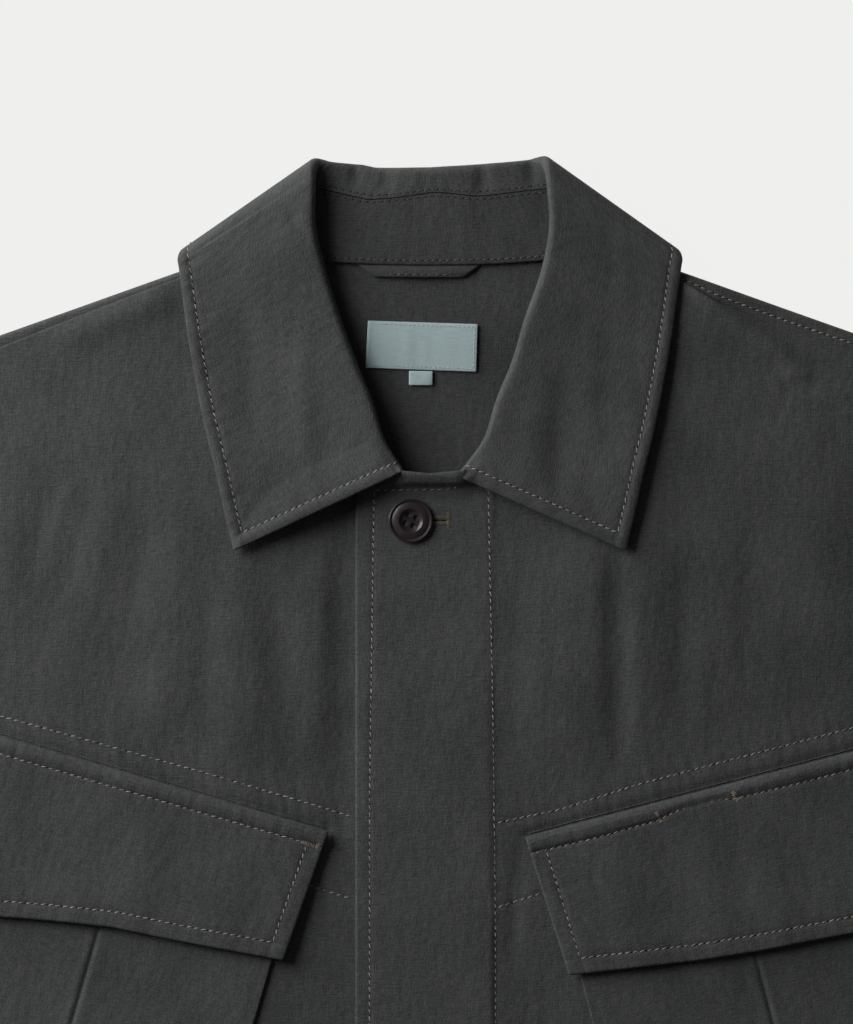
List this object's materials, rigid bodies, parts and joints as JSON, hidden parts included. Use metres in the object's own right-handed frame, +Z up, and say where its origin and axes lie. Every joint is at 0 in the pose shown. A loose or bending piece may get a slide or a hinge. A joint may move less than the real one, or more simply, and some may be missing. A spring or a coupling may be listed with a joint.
{
  "type": "fatigue jacket",
  "caption": "Fatigue jacket laid flat on its back, with a point collar rolled over its stand, a buttoned neck, long sleeves and slanted chest pockets with flaps.",
  "frame": {"origin": "on the surface it lies on, under the middle of its bounding box", "axes": "+X to the wearer's left, from cuff to cuff; +Y from hem to collar; +Z up, from the back panel to the fronts"},
  "size_m": [1.3386, 0.774, 0.0127],
  "materials": {
    "shell_cloth": "matt slubby plain weave, charcoal green",
    "label_cloth": "woven satin, pale grey blue, blank",
    "button_resin": "dark brown resin, half gloss"
  },
  "bodies": {
    "root": {"back": "shell_cloth", "front_left": "shell_cloth", "front_right": "shell_cloth", "sleeve_left": "shell_cloth", "sleeve_right": "shell_cloth", "collar_stand": "shell_cloth", "collar_fall": "shell_cloth", "pocket_left": "shell_cloth", "pocket_right": "shell_cloth", "flap_left": "shell_cloth", "flap_right": "shell_cloth", "hanging_loop": "shell_cloth", "neck_label": "label_cloth", "size_tab": "label_cloth", "neck_button": "button_resin"}
  },
  "joints": []
}
